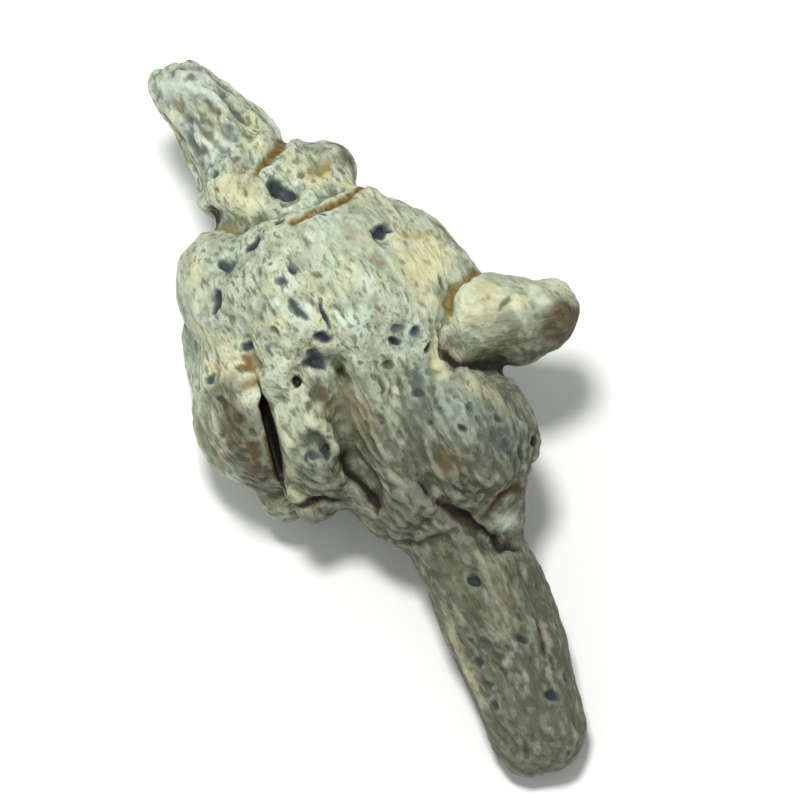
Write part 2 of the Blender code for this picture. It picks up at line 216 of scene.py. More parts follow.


# Rings, cracks and folds: old leaf rings on the collar, the ring round the finger, the cracks
# where the lobes dried apart, and ridges beside them. The skin breaks to golden brown there,
# and to dark brown and black where deep, the black partly painted shade. The leg's left rim is
# lightened with painted highlight. The stub's streaks are where its strings dried apart.
# how closely a line's points lie, how many widths it reaches, and how it fades at its ends
LINE_SPACING = 0.25
LINE_REACH = 3.0
RUN_OUT = 1.0
END_SHARE = 0.15
CREASES = {
    # width, depth, the tints that it has and how much of each, and the points that it runs through
    "upper ring of the collar": (0.8, 0.35, {"gold": 1.0, "rust": 0.9}, (
        (-18.0, 2.6, 10.0), (-18.2, 3.2, 13.0), (-16.9, 2.3, 16.1), (-16.4, 1.3, 16.4),
        (-15.8, 0.4, 16.7), (-15.2, -0.6, 17.4), (-15.0, -1.4, 17.3),
    )),
    "lower ring of the collar": (1.05, 0.42, {"gold": 1.0, "rust": 1.0}, (
        (-12.4, 7.6, 14.0), (-10.7, 6.8, 17.3), (-9.3, 4.7, 19.6), (-8.7, 2.5, 20.6),
        (-8.3, 0.0, 21.0), (-8.4, -1.4, 21.1),
    )),
    "ring round the collar's far side": (0.8, 0.35, {"gold": 0.8, "rust": 0.3}, (
        (-12.0, -3.6, 17.2), (-15.8, -5.2, 12.0), (-15.0, -2.2, 7.0), (-13.4, 3.2, 6.0),
        (-12.2, 6.8, 10.0),
    )),
    "hollow at the collar's left": (1.5, 0.1, {"dark": 0.8, "rust": 0.9}, (
        (-14.9, -4.8, 14.8), (-15.2, -4.4, 12.6), (-14.8, -3.6, 10.6),
    )),
    "ring round the finger": (0.7, 0.35, {"gold": 1.0, "rust": 0.8}, (
        (-1.0, 11.8, 13.4), (-0.5, 11.3, 16.2), (0.1, 10.6, 17.1), (0.7, 9.6, 17.8),
        (1.1, 8.4, 17.7), (1.8, 7.6, 17.4), (2.6, 6.9, 17.0),
    )),
    # its black is partly a painted shadow cast by the finger
    "crease under the finger": (0.95, 0.45, {"rust": 1.0, "dark": 1.0}, (
        (4.2, 6.2, 16.2), (5.0, 5.8, 15.9), (6.0, 6.6, 16.0), (6.6, 7.9, 15.4), (6.7, 9.2, 14.2),
        (6.4, 10.8, 12.4),
    )),
    "fold across the finger": (0.6, 0.2, {"speck": 0.8}, (
        (3.0, 12.8, 18.1), (3.7, 12.1, 18.5), (4.0, 11.2, 18.3), (4.4, 10.6, 18.0),
    )),
    "crack above the slit": (0.9, 0.3, {"tan": 1.0, "gold": 0.6, "rust": 0.7}, (
        (-1.8, -7.9, 17.5), (-1.2, -8.1, 17.4), (-0.4, -8.2, 17.0), (0.3, -8.4, 16.8),
        (0.7, -8.6, 16.6), (1.4, -8.6, 16.1), (2.2, -8.7, 15.6), (2.9, -8.8, 15.2),
    )),
    "foot of the slit": (0.9, 0.4, {"rust": 1.0, "dark": 1.0}, (
        (5.7, -9.3, 13.2), (6.3, -9.2, 12.0), (6.6, -9.1, 10.4), (7.1, -9.1, 10.4),
        (7.5, -9.0, 10.1), (7.9, -9.0, 9.6),
    )),
    "start of the groove": (0.6, 0.2, {"rust": 0.5, "olive": 1.0}, (
        (5.8, -5.2, 17.5), (6.3, -4.1, 15.5), (7.7, -4.1, 14.3),
    )),
    # its black is partly painted shade
    "groove beside the inner left lobe": (1.0, 0.65, {"rust": 1.0, "dark": 1.0}, (
        (7.7, -4.1, 14.3), (9.3, -4.4, 13.1), (10.4, -4.0, 12.2), (11.2, -3.8, 11.9),
        (13.1, -3.7, 11.0),
    )),
    "arc on the inner left lobe": (1.1, 0.3, {"speck": 1.0}, (
        (7.0, -8.1, 16.1), (6.9, -7.2, 16.3), (6.9, -6.0, 16.4), (7.8, -5.8, 15.7),
        (8.4, -5.9, 15.6),
    )),
    "crease under the right lobe": (0.85, 0.5, {"rust": 1.0, "dark": 1.0}, (
        (14.2, -0.2, 14.1), (14.6, 0.2, 13.9), (15.5, 0.9, 13.0), (16.4, 2.1, 11.9),
        (17.7, 2.8, 11.3), (19.0, 3.7, 10.4), (19.6, 4.8, 8.8),
    )),
    "crease round the bead": (0.9, 0.35, {"rust": 0.8, "olive": 1.0, "dark": 0.5}, (
        (16.9, 2.6, 12.0), (17.2, 3.4, 12.5), (16.6, 5.0, 13.6), (16.3, 6.2, 13.3),
        (16.8, 7.4, 11.6),
    )),
    "step above the leg": (0.8, 0.3, {"rust": 0.4, "olive": 1.0}, (
        (15.0, -3.4, 8.6), (16.1, -1.5, 10.0), (16.8, 0.0, 11.4), (16.6, 1.6, 12.2),
    )),
    "groove down the leg": (0.55, 0.3, {"rust": 0.9, "dark": 0.7}, (
        (24.4, 3.7, 9.2), (25.2, 3.7, 9.0), (26.5, 3.4, 8.7), (27.8, 3.1, 8.3), (28.4, 3.1, 8.0),
    )),
    "crack beside the left bead": (0.7, 0.35, {"rust": 0.9, "dark": 1.0}, (
        (8.2, -9.6, 9.4), (9.4, -8.9, 11.0), (9.6, -6.8, 10.9), (10.8, -5.4, 11.0),
    )),
    "crack on the back": (0.8, 0.45, {"rust": 0.9, "dark": 0.8}, (
        (-8.0, 9.4, 8.0), (-4.4, 11.0, 9.4), (-1.4, 11.4, 8.6), (1.4, 10.0, 6.4),
    )),
    "groove under the belly": (1.2, 0.25, {"rust": 0.4, "dark": 0.5}, (
        (-10.0, 0.4, 3.4), (-4.0, 0.6, 1.4), (2.0, 0.0, 2.0), (8.0, 0.8, 3.4),
    )),
    "mark by the groove": (0.8, 0.3, {"dark": 0.9, "rust": 1.0}, (
        (2.6, -2.5, 18.0), (3.4, -2.1, 17.3), (4.2, -2.0, 17.3),
    )),
    "streak by the lip": (0.6, 0.2, {"slate": 0.6}, (
        (5.3, 2.2, 17.8), (6.0, 2.8, 17.3), (6.5, 2.9, 17.0), (7.4, 3.2, 17.0),
    )),
    "streak on the shaft": (0.5, 0.2, {"speck": 1.0, "rust": 0.3}, (
        (4.4, -0.5, 18.7), (5.0, -0.3, 18.4), (6.1, 0.1, 17.8), (6.8, 0.4, 17.4),
    )),
    "streak lower on the shaft": (0.6, 0.3, {"slate": 0.95, "dark": 0.6}, (
        (12.4, -0.6, 15.0), (12.9, -0.4, 14.7), (13.8, 0.0, 14.2), (14.6, 0.3, 13.9),
    )),
    "streak on the right lobe": (0.7, 0.25, {"slate": 0.85}, (
        (14.2, 1.0, 15.7), (14.7, 1.4, 15.5), (15.6, 2.2, 14.9), (16.2, 2.8, 14.4),
    )),
    "first streak of the stub": (0.7, 0.2, {"speck": 0.8}, (
        (-24.6, -0.7, 15.0), (-24.0, -0.7, 15.1), (-22.8, -0.7, 15.4), (-21.9, -0.4, 16.1),
        (-21.2, 0.0, 16.0),
    )),
    "second streak of the stub": (0.7, 0.2, {"speck": 0.9}, (
        (-24.0, 0.3, 14.9), (-23.0, 0.5, 15.1), (-21.7, 0.8, 15.4), (-20.9, 1.1, 15.4),
        (-19.6, 1.4, 15.4),
    )),
    "third streak of the stub": (0.7, 0.2, {"slate": 0.45, "speck": 0.3}, (
        (-21.4, -0.5, 16.1), (-21.0, -0.5, 16.2), (-19.7, -0.6, 16.2), (-18.9, -0.4, 16.3),
        (-18.2, -0.3, 16.3),
    )),
    "fourth streak of the stub": (0.7, 0.2, {"speck": 0.6}, (
        (-24.2, -2.6, 14.2), (-23.2, -2.6, 14.5), (-21.3, -2.1, 15.3), (-20.2, -1.7, 15.4),
    )),
    "fifth streak of the stub": (0.8, 0.25, {"slate": 0.5, "speck": 0.8}, (
        (-23.0, -3.4, 13.9), (-22.4, -3.4, 14.0), (-21.2, -3.2, 14.2), (-20.2, -3.1, 14.4),
        (-19.5, -2.2, 15.4),
    )),
    "sixth streak of the stub": (0.8, 0.2, {"speck": 0.8}, (
        (-25.2, -3.8, 11.6), (-24.3, -3.9, 11.7), (-23.2, -3.9, 11.9), (-21.9, -4.0, 12.0),
        (-20.6, -4.0, 12.2),
    )),
}
RIDGES = {
    # width, height, the tints that it has, and the points that it runs through
    "lip beside the finger": (0.9, 0.45, {"cream": 1.0, "light": 0.4}, (
        (3.4, 5.6, 18.4), (4.2, 5.4, 17.4), (5.2, 5.0, 16.7), (6.2, 4.8, 16.9), (7.0, 4.8, 17.4),
        (7.6, 5.5, 17.6),
    )),
    "outer rim of the inner left lobe": (0.8, 0.32, {"cream": 1.0, "light": 0.6}, (
        (5.4, -7.8, 16.8), (6.1, -8.2, 16.2), (6.9, -8.5, 14.6), (7.2, -8.4, 12.9),
        (8.0, -8.1, 12.4),
    )),
    "inner rim of the inner left lobe": (0.8, 0.32, {"cream": 1.0, "light": 0.6}, (
        (5.2, -6.6, 17.6), (5.7, -6.2, 17.5), (6.8, -5.5, 16.9), (7.7, -4.9, 15.8),
        (8.8, -4.8, 14.8),
    )),
    "ridge across the finger": (1.1, 0.2, {"cream": 1.0}, (
        (3.0, 13.8, 17.9), (3.9, 13.1, 18.3), (4.6, 12.2, 18.5), (5.0, 11.6, 18.2),
    )),
    "edge of the crack under the right lobe": (0.9, 0.2, {"cream": 0.35}, (
        (14.0, 0.6, 14.8), (15.4, 1.6, 13.9), (16.4, 2.6, 13.0),
    )),
    "first string of the stub": (0.9, 0.15, {"light": 0.9}, (
        (-26.8, -2.6, 13.8), (-25.6, -1.4, 14.4), (-24.6, -0.2, 15.2), (-22.8, -0.1, 15.8),
        (-21.9, 0.2, 15.8),
    )),
    "second string of the stub": (0.7, 0.15, {"light": 0.9}, (
        (-22.4, -2.9, 14.6), (-21.7, -2.8, 14.7), (-19.9, -2.3, 15.4), (-18.4, -1.8, 15.8),
    )),
    "third string of the stub": (0.7, 0.12, {"light": 0.8}, (
        (-21.6, -1.5, 15.6), (-20.2, -1.5, 15.5), (-18.2, -0.9, 16.4), (-17.6, -0.8, 16.5),
    )),
    # the leg's lit left edge: its cream and pale tints are painted highlight
    "left rim of the leg": (0.9, 0.12, {"cream": 0.8, "light": 0.4}, (
        (19.6, -2.6, 8.8), (22.6, -3.0, 7.6), (26.0, -3.2, 6.6), (29.4, -3.2, 5.8),
    )),
}
TINT_WIDTHS = {
    # how wide each tint lies along a line, in widths of the line
    "olive": 1.5, "cream": 1.5, "gold": 1.3, "tan": 1.1, "speck": 1.1, "light": 1.0, "slate": 1.0,
    "rust": 0.9, "dark": 0.75,
}


def line_on_skin(places):
    """A line over the skin through the given places, as closely spaced points."""
    line = []
    for start, end in zip(places, places[1:]):
        start, end = Vector(start), Vector(end)
        steps = max(2, round((end - start).length / LINE_SPACING))
        line += [on_skin(start.lerp(end, step / steps))[0] for step in range(steps)]
    line.append(on_skin(places[-1])[0])
    return np.array(line)


def nearness(line, width, run_out=RUN_OUT):
    """How near each point is to a line over the skin: one on it, none a few widths away.

    A line fades towards its ends over the length of its run-out."""
    reach = LINE_REACH * width
    close = np.all((ragged > line.min(0) - reach) & (ragged < line.max(0) + reach), axis=1)
    gaps = np.linalg.norm(ragged[close][:, None] - line[None], axis=2)
    nearest = gaps.argmin(axis=1)
    to_end = LINE_SPACING * np.minimum(nearest, len(line) - 1 - nearest)
    fade = np.clip(to_end / run_out, END_SHARE, 1) if run_out else 1.0
    near = np.zeros(len(skin))
    near[close] = fade * np.exp(-((uneven[close] * gaps.min(axis=1) / (width / 2)) ** 2))
    return near


for lines, way in ((CREASES, -1), (RIDGES, 1)):
    for width, height, colours, places in lines.values():
        line = line_on_skin(places)
        relief += way * height * nearness(line, width)
        for name, amount in colours.items():
            tint(name, amount * nearness(line, TINT_WIDTHS[name] * width))


# The slit between the two left lobes, where the root split open as it dried. Its walls are
# nearly black inside, partly painted shade, and brown at the mouth, and they stand closer than the
# solid's do.
SLIT_MOUTH = np.array((5.24, -8.75, 14.7))
SLIT_RUN = np.array((0.75, -0.12, -0.62))
SLIT_WAY_IN = np.array((-0.62, 0.12, -0.76))
SLIT_HALF_LENGTH = 5.6
SLIT_HALF_WIDTH = 0.5
SLIT_DEPTH = 4.6
# how its sides fade in: past its ends, below and above its floor, and in its half widths
SLIT_END_FADE = 0.4
SLIT_FLOOR_FADE = (0.9, -0.6)
SLIT_SIDE_FADE = (2.8, 1.1)
# the strip of skin beside it, and how many bends its height may have along the mouth
SLIT_BANK = (-2.2, -0.9)
BANK_FACING = -0.5
BANK_BENDS = 4
# how deep below that strip the black, partly painted shade, and the brown start and are full
SLIT_BLACK_SHADE_FROM = (0.0, 0.6)
SLIT_BROWN_FROM = (-0.9, 0.0)
SLIT_BROWN_BREAKS = (0.8, 1.1)
# where it closes towards its ends, and the share of the gap that is gone midway and there
SLIT_UPPER_END = (-2.9, -3.9)
SLIT_LOWER_END = (3.6, 4.6)
SLIT_CLOSING = (0.12, 0.88)

slit_run = SLIT_RUN / np.linalg.norm(SLIT_RUN)
slit_across = np.cross(slit_run, SLIT_WAY_IN)
slit_across /= np.linalg.norm(slit_across)
slit_way_in = np.cross(slit_across, slit_run)
slit_way_in *= np.sign(slit_way_in @ SLIT_WAY_IN)
from_mouth = skin - SLIT_MOUTH
slit_side = from_mouth @ slit_across
slit_depth = from_mouth @ slit_way_in
slit_length = from_mouth @ slit_run

on_bank = (slit_side > SLIT_BANK[0]) & (slit_side < SLIT_BANK[1])
on_bank &= (outward @ slit_way_in < BANK_FACING) & (np.abs(slit_length) < SLIT_HALF_LENGTH)
bank = np.polyfit(slit_length[on_bank], slit_depth[on_bank], BANK_BENDS)
below_bank = slit_depth - np.polyval(bank, slit_length)

in_slit = ramp(
    np.abs(slit_length), SLIT_HALF_LENGTH + SLIT_END_FADE, SLIT_HALF_LENGTH - SLIT_END_FADE
)
in_slit *= ramp(slit_depth, *(SLIT_DEPTH + fade for fade in SLIT_FLOOR_FADE))
in_slit *= ramp(np.abs(slit_side), *(SLIT_HALF_WIDTH * fade for fade in SLIT_SIDE_FADE))
slit_end = np.maximum(ramp(slit_length, *SLIT_UPPER_END), ramp(slit_length, *SLIT_LOWER_END))
open_slit = (1 - slit_end) * in_slit
# black deep in the open slit: partly painted shade
tint("dark", open_slit * ramp(below_bank, *SLIT_BLACK_SHADE_FROM))
tint("rust", open_slit * ramp(below_bank, *SLIT_BROWN_FROM) * ramp(uneven, *SLIT_BROWN_BREAKS))


# Pits where thin rootlets broke off, and smaller scars: sunk, oval, slate blue to near black,
# most of them on the shoulders. Those that the photograph shows are placed, the rest strewn.
MARKS = {
    # for each tint: place, length, width, turn in degrees from the run of the trunk, depth,
    # and how much of the tint
    "dark": (
        ((2.7, -5.6, 17.8), 1.0, 0.9, 0, 0.6, 1.0),
        ((7.8, -5.8, 15.7), 0.8, 0.7, 0, 0.3, 0.8),
        ((13.8, 9.1, 14.4), 0.9, 0.6, -10, 0.35, 1.0),
    ),
    "rust": (
        ((-0.6, -8.8, 17.0), 0.9, 0.7, -26, 0.2, 0.9),
    ),
    "slate": (
        ((-1.2, -3.6, 21.4), 2.3, 0.6, 16, 0.3, 0.75),
        ((0.0, -1.9, 21.1), 2.2, 0.5, 10, 0.35, 1.0),
        ((-13.3, 0.3, 17.0), 1.9, 1.3, -5, 0.4, 0.9),
        ((-12.4, 0.9, 16.6), 1.6, 1.1, 52, 0.35, 0.85),
        ((-9.6, -1.0, 19.3), 1.15, 0.85, 30, 0.4, 0.95),
        ((-8.7, -3.7, 18.9), 1.4, 0.7, 111, 0.4, 1.0),
        ((-9.0, -6.1, 17.0), 1.4, 0.8, 22, 0.35, 0.8),
        ((-10.3, -6.2, 17.0), 0.7, 0.6, 0, 0.1, 0.35),
        ((-17.3, -3.1, 15.7), 1.0, 0.7, 16, 0.3, 0.7),
        ((-17.3, -2.3, 16.2), 0.7, 0.5, 0, 0.1, 0.35),
        ((-19.8, -3.7, 12.6), 0.9, 0.7, 0, 0.1, 0.5),
        ((-6.4, -7.9, 17.2), 1.7, 1.2, -2, 0.45, 1.0),
        ((-4.1, -2.5, 21.8), 0.85, 0.7, 0, 0.3, 0.85),
        ((-3.6, -3.8, 22.2), 0.95, 0.6, 45, 0.3, 0.75),
        ((1.4, -2.8, 20.5), 1.6, 0.9, 45, 0.4, 1.0),
        ((2.1, -3.8, 18.5), 1.6, 1.5, 0, 0.5, 0.95),
        ((-1.8, -7.6, 17.5), 1.1, 0.75, 92, 0.35, 0.85),
        ((-1.6, -8.9, 17.0), 0.9, 0.5, 63, 0.1, 0.4),
        ((-2.1, -10.9, 14.2), 1.1, 0.7, 63, 0.3, 0.75),
        ((3.9, -12.2, 11.8), 1.7, 1.1, 0, 0.2, 0.6),
        ((8.4, -5.9, 15.6), 0.7, 0.6, 0, 0.3, 0.9),
        ((7.9, -6.7, 15.8), 1.4, 0.9, 63, 0.2, 0.8),
        ((9.3, -6.1, 14.7), 1.2, 0.6, 0, 0.1, 0.35),
        ((-5.3, 6.0, 19.4), 1.1, 0.9, 35, 0.3, 0.9),
        ((-5.2, 5.4, 19.7), 2.5, 0.95, 107, 0.4, 1.0),
        ((3.5, 4.0, 19.3), 1.1, 0.85, -10, 0.3, 0.85),
        ((2.8, 2.9, 19.6), 1.2, 0.7, 63, 0.2, 0.5),
        ((3.4, 2.3, 19.0), 1.1, 0.65, 63, 0.4, 1.0),
        ((4.7, 4.6, 18.1), 0.8, 0.65, -26, 0.3, 0.95),
        ((3.2, 5.6, 19.1), 0.8, 0.5, 50, 0.15, 0.55),
        ((6.1, 3.8, 17.3), 0.6, 0.5, 0, 0.15, 0.5),
        ((7.2, 2.5, 16.8), 0.85, 0.7, 0, 0.25, 0.75),
        ((7.5, 3.3, 17.2), 1.2, 0.7, 50, 0.15, 0.45),
        ((9.8, 2.0, 16.7), 0.8, 0.55, 50, 0.25, 0.75),
        ((11.7, 3.9, 17.6), 0.95, 0.5, 16, 0.3, 0.9),
        ((9.3, 3.9, 17.9), 0.8, 0.6, 0, 0.1, 0.35),
        ((10.5, 5.2, 17.8), 1.0, 0.6, 50, 0.2, 0.6),
        ((11.5, 5.5, 17.4), 0.8, 0.6, 0, 0.2, 0.6),
        ((11.9, 6.9, 17.1), 0.8, 0.6, 50, 0.25, 0.7),
        ((14.5, 7.6, 14.9), 1.3, 0.8, 20, 0.2, 0.7),
        ((13.9, 6.6, 15.8), 1.2, 0.7, 10, 0.15, 0.5),
        ((20.7, 0.6, 10.1), 1.05, 0.8, 30, 0.35, 1.0),
        ((26.2, 1.9, 9.1), 0.95, 0.6, 50, 0.25, 0.9),
        ((25.7, -1.6, 7.2), 0.9, 0.8, 0, 0.25, 0.8),
        ((24.1, -1.6, 8.0), 0.8, 0.7, 0, 0.15, 0.45),
        ((24.9, -0.3, 8.4), 1.6, 1.0, 50, 0.15, 0.4),
        ((27.3, -1.9, 6.9), 1.2, 0.5, 0, 0.15, 0.6),
        ((29.2, -1.9, 6.8), 1.0, 0.7, 0, 0.25, 0.8),
        ((30.7, 2.2, 7.3), 1.4, 0.8, 40, 0.25, 0.9),
        ((-2.0, 11.6, 12.0), 1.8, 1.3, 0, 0.5, 0.8),
        ((-9.0, 3.0, 4.2), 1.7, 1.2, 40, 0.5, 0.8),
        ((9.0, 9.6, 8.4), 1.8, 1.2, 0, 0.5, 0.8),
        ((11.0, -3.4, 5.0), 1.5, 1.0, 0, 0.45, 0.8),
        ((22.0, 4.6, 3.6), 1.3, 0.8, 0, 0.35, 0.8),
    ),
    "speck": (
        ((4.1, -4.7, 18.1), 2.0, 1.3, 20, 0.2, 1.0),
        ((-4.4, -7.8, 18.0), 0.9, 0.6, 50, 0.1, 0.5),
        ((-10.0, -5.1, 17.4), 0.7, 0.5, 0, 0.1, 0.5),
        ((-17.3, -1.2, 16.5), 0.75, 0.5, 50, 0.15, 0.9),
        ((-26.3, -0.9, 14.4), 1.1, 0.75, 63, 0.15, 0.9),
        ((-14.2, -3.0, 16.7), 0.8, 0.6, -26, 0.1, 0.5),
        ((-13.4, 2.6, 17.4), 0.8, 0.65, 0, 0.2, 0.8),
        ((-14.4, 4.0, 16.9), 0.8, 0.6, 0, 0.15, 0.6),
        ((-13.4, 4.8, 16.7), 1.0, 0.6, 40, 0.1, 0.5),
        ((-3.0, -1.2, 21.9), 0.85, 0.55, 60, 0.12, 0.6),
        ((-1.1, -5.8, 20.1), 0.95, 0.55, 45, 0.25, 0.95),
        ((0.0, -6.2, 19.5), 0.9, 0.5, 50, 0.1, 0.5),
        ((-1.6, -7.0, 19.1), 0.8, 0.5, 100, 0.15, 0.7),
        ((-2.9, -5.6, 20.4), 0.8, 0.7, 0, 0.1, 0.45),
        ((0.6, -11.1, 15.0), 1.4, 1.2, 0, 0.2, 0.9),
        ((2.4, -10.6, 15.5), 1.0, 0.8, 0, 0.15, 0.7),
        ((2.5, -12.1, 13.8), 0.8, 0.5, 50, 0.15, 0.9),
        ((4.7, -10.3, 14.6), 0.9, 0.8, 0, 0.15, 1.0),
        ((5.4, -11.1, 10.4), 1.2, 0.8, 0, 0.15, 0.9),
        ((4.5, -6.9, 17.1), 0.8, 0.6, 0, 0.1, 0.4),
        ((4.7, -5.7, 17.7), 0.8, 0.6, 0, 0.15, 0.9),
        ((4.6, 1.2, 18.1), 0.95, 0.5, 55, 0.25, 1.0),
        ((7.9, -1.1, 17.0), 0.95, 0.7, 30, 0.25, 1.0),
        ((8.4, 1.4, 16.4), 0.8, 0.4, 16, 0.15, 0.8),
        ((9.6, -0.2, 16.3), 1.2, 0.45, 0, 0.2, 0.9),
        ((10.8, -0.2, 15.8), 1.1, 0.8, 0, 0.15, 0.6),
        ((15.4, 3.4, 15.2), 1.6, 1.1, 20, 0.15, 0.7),
        ((12.1, -2.4, 13.7), 1.0, 0.7, 0, 0.2, 0.7),
        ((24.6, 2.3, 9.4), 0.7, 0.5, 0, 0.15, 0.7),
        ((26.1, 0.7, 8.8), 0.7, 0.5, 0, 0.15, 0.7),
        ((29.6, 4.0, 6.6), 1.2, 0.6, 0, 0.15, 0.8),
    ),
    "light": (
        ((6.8, -0.8, 17.6), 1.2, 0.8, 10, -0.1, 0.8),
        ((6.5, 0.9, 17.2), 0.8, 0.7, 0, -0.12, 0.9),
        ((12.0, 4.7, 17.2), 1.0, 0.7, 20, -0.1, 0.6),
        ((12.7, 8.7, 15.3), 1.0, 0.9, 0, -0.2, 1.0),
        ((27.1, 0.1, 8.6), 0.9, 0.85, 0, -0.15, 0.7),
        ((0.9, -12.3, 13.0), 0.9, 0.6, 0, -0.1, 0.8),
        ((-18.6, -2.8, 15.3), 0.9, 0.7, 0, -0.1, 0.9),
        ((-15.0, 0.6, 17.2), 0.9, 0.6, 60, -0.1, 0.9),
        ((-12.9, 1.9, 17.4), 0.7, 0.6, 0, -0.1, 0.8),
        ((-10.6, 0.2, 18.4), 1.4, 0.7, 45, -0.1, 0.8),
        ((-2.4, -4.9, 21.3), 0.9, 0.8, 0, -0.08, 0.7),
        ((0.6, -1.0, 21.0), 2.2, 0.5, 12, -0.08, 0.9),
        ((-0.9, -2.8, 21.4), 1.6, 0.5, 12, -0.08, 0.8),
    ),
}
# how far a mark reaches, in lengths, and its wall, stain and rim, in half lengths
MARK_REACH = 1.4
MARK_WALL = (1.3, 0.1)
MARK_STAIN = (1.6, 0.35)
MARK_RIM = 0.1
MARK_RIM_AT = 1.5
MARK_RIM_SHARPNESS = 9
# the strewn marks: how many are tried, the least and the most of each measure, their widths
# as shares of their lengths, and how many of them are dark or light
STREWN = 560
STREWN_SEED = 7
STREWN_LENGTHS = (0.45, 1.3)
STREWN_WIDTHS = (0.3, 0.6)
STREWN_TURNS = (-15, 45)
STREWN_DEPTHS = (0.04, 0.18)
STREWN_AMOUNTS = (0.3, 1.0)
STREWN_DARK_SHARE = 0.2
STREWN_LIGHT_SHARE = 0.3
# how many of them stay: in clusters, few on the stub and on the bare patch of the belly
STREWN_SHARE = 0.8
STREWN_CLUSTER = 5.0
STREWN_CLUSTER_EDGE = (-0.5, 0.25)
STREWN_STUB_SHARE = 0.15
STUB_FROM = -16.0
BARE = (-3.6, 4.6, 20.4)
BARE_REACH = 4.2
BARE_SHARE = 0.85


def mark(place, length, width, turn, depth, name, amount):
    """Sinks one oval mark with a low rim into the skin at a place, and tints its floor."""
    centre, normal = on_skin(place)
    way = np.array((math.cos(math.radians(turn)), math.sin(math.radians(turn)), 0))
    way -= (way @ normal) * normal
    way /= np.linalg.norm(way)
    close = np.all(np.abs(ragged - centre) < MARK_REACH * length, axis=1)
    offset = ragged[close] - centre
    off = offset @ normal
    along = offset @ way
    across = offset @ np.cross(normal, way)
    halves = 2 * np.sqrt((along / length) ** 2 + (across / width) ** 2 + (off / length) ** 2)
    halves *= rough[close]
    rim = MARK_RIM * np.exp(-MARK_RIM_SHARPNESS * (halves - MARK_RIM_AT) ** 2)
    relief[close] += depth * (rim - ramp(halves, *MARK_WALL))
    stain = np.zeros(len(skin))
    stain[close] = amount * ramp(halves, *MARK_STAIN)
    tint(name, stain)


for name, rows in MARKS.items():
    for place, length, width, turn, depth, amount in rows:
        mark(place, length, width, turn, depth, name, amount)

clusters = ripple(skin, STREWN_CLUSTER, STREWN_CLUSTER, wave=1)
strewn_share = STREWN_SHARE * ramp(clusters, *STREWN_CLUSTER_EDGE)
strewn_share[skin[:, 0] < STUB_FROM] *= STREWN_STUB_SHARE
strewn_share *= 1 - BARE_SHARE * around(BARE, BARE_REACH)
strewn_share[on_finger] = 0
draw = random.Random(STREWN_SEED)
for _ in range(STREWN):
    spot = draw.randrange(len(skin))
    length = draw.uniform(*STREWN_LENGTHS)
    width = length * draw.uniform(*STREWN_WIDTHS)
    turn = draw.uniform(*STREWN_TURNS)
    depth = draw.uniform(*STREWN_DEPTHS)
    amount = draw.uniform(*STREWN_AMOUNTS)
    kind = draw.random()
    if draw.random() < strewn_share[spot]:
        if kind < STREWN_LIGHT_SHARE:
            mark(skin[spot], length, width, turn, -depth / 2, "light", amount)
        elif kind < STREWN_LIGHT_SHARE + STREWN_DARK_SHARE:
            mark(skin[spot], length, width, turn, depth, "slate", amount)
        else:
            mark(skin[spot], length, width, turn, depth, "speck", amount)


# The skin shrank round the drying flesh, so all of it is wrinkled: rounded folds with sharp
# creases between them, close and straight on the stub and the shaft, faint on the leg, and
# short and shallow on the shoulders.
# where along the trunk the straight folds begin and are full, and where the leg does
SHAFT_FROM = (2.0, 8.0)
STUB_BEFORE = (-16.0, -19.0)
LEG_FROM = (15.0, 18.0)
# how much of them the leg and the finger have, and how much the right lobe lacks
LEG_SHARE = 0.3
FINGER_SHARE = 0.12
LOBE = (12.4, 5.2, 17.0)
LOBE_REACH = 3.6
LOBE_CALM = 0.6
# how much there is of the folds on the shoulders and of the fine ones, fewer on the finger
KNOBBLY_SHARE = 0.7
FINE_SHARE = 0.6
FINGER_CALM = 0.4
# spacing along the grain and across it, and height
SHAFT_FOLDS = (4.6, 1.05, 0.2)
SHOULDER_FOLDS = (2.6, 1.7, 0.09)
FINE_FOLDS = (1.6, 0.6, 0.04)
PEBBLE = (0.7, 0.5, 0.09)
# how the folds waver, how they are rounded and sunk, and the dark line in their creases
WAVY_SIZE = 3.0
WAVY_REACH = 0.5
FOLD_ROUNDNESS = 2.2
FOLD_SINK = 0.5
FOLD_CREASE_DARKENING = 0.6
FOLD_CREASE_BREAKS = (-0.35, 0.25)
CREASE_WIDTH = 0.07

straight = np.maximum(ramp(skin[:, 0], *SHAFT_FROM), ramp(skin[:, 0], *STUB_BEFORE))
straight *= 1 - (1 - LEG_SHARE) * ramp(skin[:, 0], *LEG_FROM)
straight[on_finger] = FINGER_SHARE
straight *= 1 - LOBE_CALM * around(LOBE, LOBE_REACH)
knobbly = 1 - np.maximum(straight, ramp(skin[:, 0], *LEG_FROM))
wavy = waver(grain, WAVY_SIZE, WAVY_REACH)
for (along, across, height), share, wave in (
    (SHAFT_FOLDS, straight, 4),
    (SHOULDER_FOLDS, KNOBBLY_SHARE * knobbly, 6),
    (FINE_FOLDS, FINE_SHARE - FINGER_CALM * on_finger, 8),
):
    fold = ripple(wavy, along, across, wave)
    relief += share * height * (FOLD_ROUNDNESS * np.abs(fold) - FOLD_SINK)
    broken = ramp(ripple(grain, along, 2 * across, wave + 1), *FOLD_CREASE_BREAKS)
    tint("speck", FOLD_CREASE_DARKENING * share * broken * np.exp(-((fold / CREASE_WIDTH) ** 2)))
along, across, height = PEBBLE
relief += height * ripple(skin, along, across, wave=10)
